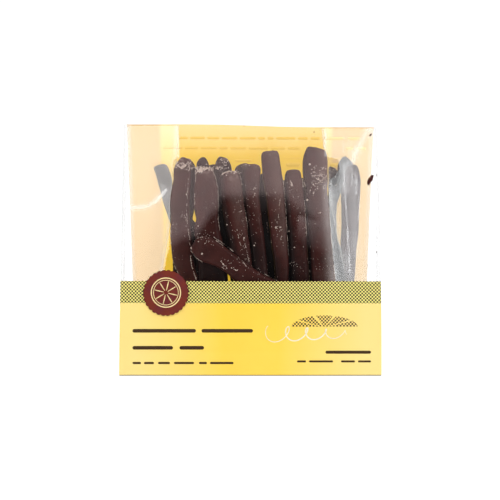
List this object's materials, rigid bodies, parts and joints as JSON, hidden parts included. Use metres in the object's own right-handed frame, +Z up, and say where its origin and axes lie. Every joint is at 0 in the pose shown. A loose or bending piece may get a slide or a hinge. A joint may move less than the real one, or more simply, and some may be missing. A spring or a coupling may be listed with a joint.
{
  "type": "pack of chocolate covered lemon peel",
  "caption": "Clear gusseted pack of chocolate-covered lemon peel strips, with a yellow card label wrapped under its flat base and a round scalloped seal.",
  "frame": {"origin": "middle of the flat base, on the surface that the pack stands on", "axes": "+Z up; the front, with the label band and the seal, faces -Y; +X is to the right seen from the front"},
  "size_m": [0.115, 0.05, 0.1123],
  "materials": {
    "clear_film": "thin clear glossy film",
    "yellow_card": "printed yellow card, satin",
    "maroon_paper": "printed maroon paper, satin",
    "dark_chocolate": "dark chocolate, satin"
  },
  "bodies": {
    "root": {"clear_film": "clear_film", "wrap_label": "yellow_card", "round_seal": "maroon_paper", "peel_front_1": "dark_chocolate", "peel_front_2": "dark_chocolate", "peel_front_3": "dark_chocolate", "peel_front_4": "dark_chocolate", "peel_front_5": "dark_chocolate", "peel_front_6": "dark_chocolate", "peel_front_7": "dark_chocolate", "peel_front_8": "dark_chocolate", "peel_back_1": "dark_chocolate", "peel_back_2": "dark_chocolate", "peel_back_3": "dark_chocolate", "peel_back_4": "dark_chocolate", "peel_back_5": "dark_chocolate", "peel_back_6": "dark_chocolate", "peel_back_7": "dark_chocolate", "peel_back_8": "dark_chocolate", "peel_back_9": "dark_chocolate", "peel_back_10": "dark_chocolate", "peel_back_11": "dark_chocolate", "peel_back_12": "dark_chocolate", "peel_slanting": "dark_chocolate"}
  },
  "joints": []
}
